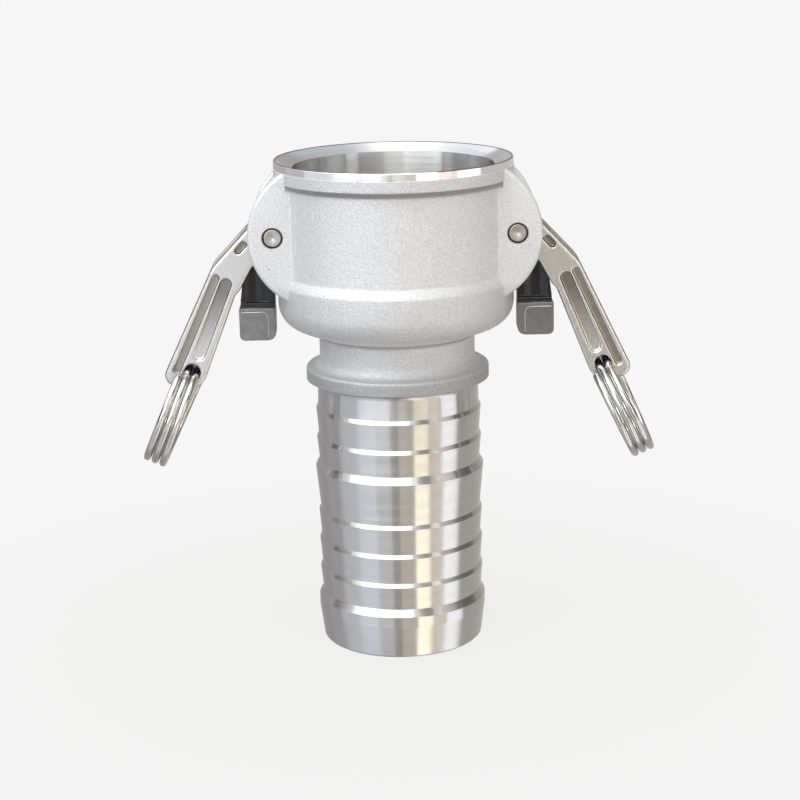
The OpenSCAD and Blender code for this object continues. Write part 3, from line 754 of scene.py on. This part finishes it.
def studio_world():
    """White to the camera, and a soft grey as light on the object. To gloss it is the studio: two
    tiers of bands up to LOW_TOP and MIDDLE_TOP degrees, sheets up to HIGH_TOP, and white above.

    The angle round the object is the arc tangent of x over minus y, so it is counted from the
    camera's side, and turn runs from 0 at -180 degrees to 1 at 180 degrees. The height angle is
    the arc sine of z. Shades are kept over BRIGHTEST, so that none is over one."""
    world = bpy.data.worlds.new("Studio")
    bpy.context.scene.world = world
    world.use_nodes = True
    tree = world.node_tree
    tree.nodes.clear()

    def tier(bands):
        stops = [((start + 180) / 360, times(shade, 1 / BRIGHTEST)) for start, shade in bands]
        return ramp_node(tree, turn, stops, steps=True)

    def light(colour, strength=1.0):
        node = tree.nodes.new("ShaderNodeBackground")
        node.inputs["Strength"].default_value = strength
        if isinstance(colour, tuple):
            node.inputs["Color"].default_value = (*colour, 1.0)
        else:
            tree.links.new(colour, node.inputs["Color"])
        return node.outputs[0]

    def choose(fac, without, within):
        node = tree.nodes.new("ShaderNodeMixShader")
        for socket, source in zip(node.inputs, (fac, without, within)):
            tree.links.new(source, socket)
        return node.outputs[0]

    split = tree.nodes.new("ShaderNodeSeparateXYZ")
    tree.links.new(tree.nodes.new("ShaderNodeTexCoord").outputs["Generated"], split.inputs[0])
    x, y, z = split.outputs
    around = math_node(tree, "ARCTAN2", x, math_node(tree, "MULTIPLY", y, -1.0))
    turn = math_node(tree, "ADD", math_node(tree, "DIVIDE", around, 2 * math.pi), 0.5)
    shade = tier(LOW_BANDS)
    for edge, above in ((LOW_TOP, tier(MIDDLE_BANDS)), (MIDDLE_TOP, tier(HIGH_SHEETS)),
                        (HIGH_TOP, times(BACKGROUND, 1 / BRIGHTEST))):
        over = math_node(tree, "GREATER_THAN", z, math.sin(math.radians(edge)))
        shade = blend_node(tree, over, shade, above)
    in_gloss = choose(seen_ray(tree), light(SOFT_GREY, SOFT_STRENGTH), light(shade, BRIGHTEST))
    camera_ray = tree.nodes.new("ShaderNodeLightPath").outputs["Is Camera Ray"]
    output = tree.nodes.new("ShaderNodeOutputWorld")
    tree.links.new(choose(camera_ray, in_gloss, light(BACKGROUND)), output.inputs["Surface"])


def studio_camera():
    """The camera that a fit to the photograph gave."""
    place, target = Vector((-0.002326, -0.641544, 0.245150)), Vector((0.000526, 0, 0.079082))
    roll = Quaternion((0, 0, 1), -0.0213)
    data = bpy.data.cameras.new("Camera")
    data.sensor_width = 36.0
    data.lens = 91.77
    camera = bpy.data.objects.new("Camera", data)
    camera.rotation_mode = "QUATERNION"
    camera.location = place
    camera.rotation_quaternion = (target - place).to_track_quat("-Z", "Y") @ roll
    bpy.context.scene.collection.objects.link(camera)
    bpy.context.scene.camera = camera


# What gloss sees round the object: the angle where each band starts, and its shade. Up to LOW_TOP
# degrees high these are the upright bands on the turned shank, up to MIDDLE_TOP those in the bore,
# and over them the sheets overhead.
LOW_BANDS = (
    (-180, (0.45, 0.43, 0.45)), (-125, (0.53, 0.52, 0.54)), (-95, (0.78, 0.80, 0.84)),
    (-66, (0.85, 0.90, 0.99)), (-36, (0.66, 0.65, 0.67)), (-14, (0.44, 0.40, 0.37)),
    (-2, (0.68, 0.63, 0.56)), (21, (2.0, 1.87, 1.54)), (42, (0.94, 0.84, 0.72)),
    (62, (1.62, 1.64, 1.69)), (90, (0.58, 0.55, 0.52)), (150, (0.62, 0.60, 0.58)))
MIDDLE_BANDS = (
    (-180, (0.50, 0.49, 0.50)), (-112, (0.12, 0.11, 0.10)), (-60, (3.3, 3.34, 3.4)),
    (-14, (2.0, 1.98, 1.95)), (9, (0.85, 0.82, 0.78)), (42, (3.0, 2.92, 2.8)),
    (56, (0.14, 0.12, 0.10)), (120, (0.40, 0.38, 0.36)))
HIGH_SHEETS = (
    (-180, (1.45, 1.45, 1.45)), (-168, (0.66, 0.70, 0.77)), (-120, (1.7, 1.7, 1.7)),
    (16, (0.32, 0.31, 0.3)), (125, (0.46, 0.48, 0.53)), (171, (1.45, 1.45, 1.45)))
BRIGHTEST = 4.0
LOW_TOP, MIDDLE_TOP, HIGH_TOP = 4.0, 25.0, 70.0
SOFT_GREY, SOFT_STRENGTH = (1.0, 0.99, 0.975), 0.54
# Metres
FLOOR_REACH, SHEET_LIFT = 20.0, 0.0005
LAMP_TARGET = Vector((0, 0, 0.09))

studio_floor()
studio_world()
studio_camera()
soft_lamp("Key lamp", azimuth=-62, elevation=44, distance=1.5, size=(0.9, 0.8), radiance=2.35,
          colour=(0.88, 0.95, 1.0))
soft_lamp("Top lamp", azimuth=-10, elevation=68, distance=1.3, size=(1.3, 1.0), radiance=3.0)
soft_lamp("Fill lamp", azimuth=75, elevation=40, distance=1.6, size=(0.7, 0.8), radiance=1.1,
          colour=(1.0, 0.93, 0.84))
soft_lamp("Back lamp", azimuth=165, elevation=50, distance=1.6, size=(0.9, 0.7), radiance=1.2,
          in_gloss=False)
studio_sheet("Cool floor sheet", low_corner=(-0.30, -0.95), high_corner=(-0.07, -0.2),
             shade=(1.25, 1.34, 1.47))
studio_sheet("Beige floor sheet", low_corner=(0.07, -0.62), high_corner=(0.30, -0.2),
             shade=(0.5, 0.46, 0.40))

bpy.context.scene.view_settings.view_transform = "Standard"
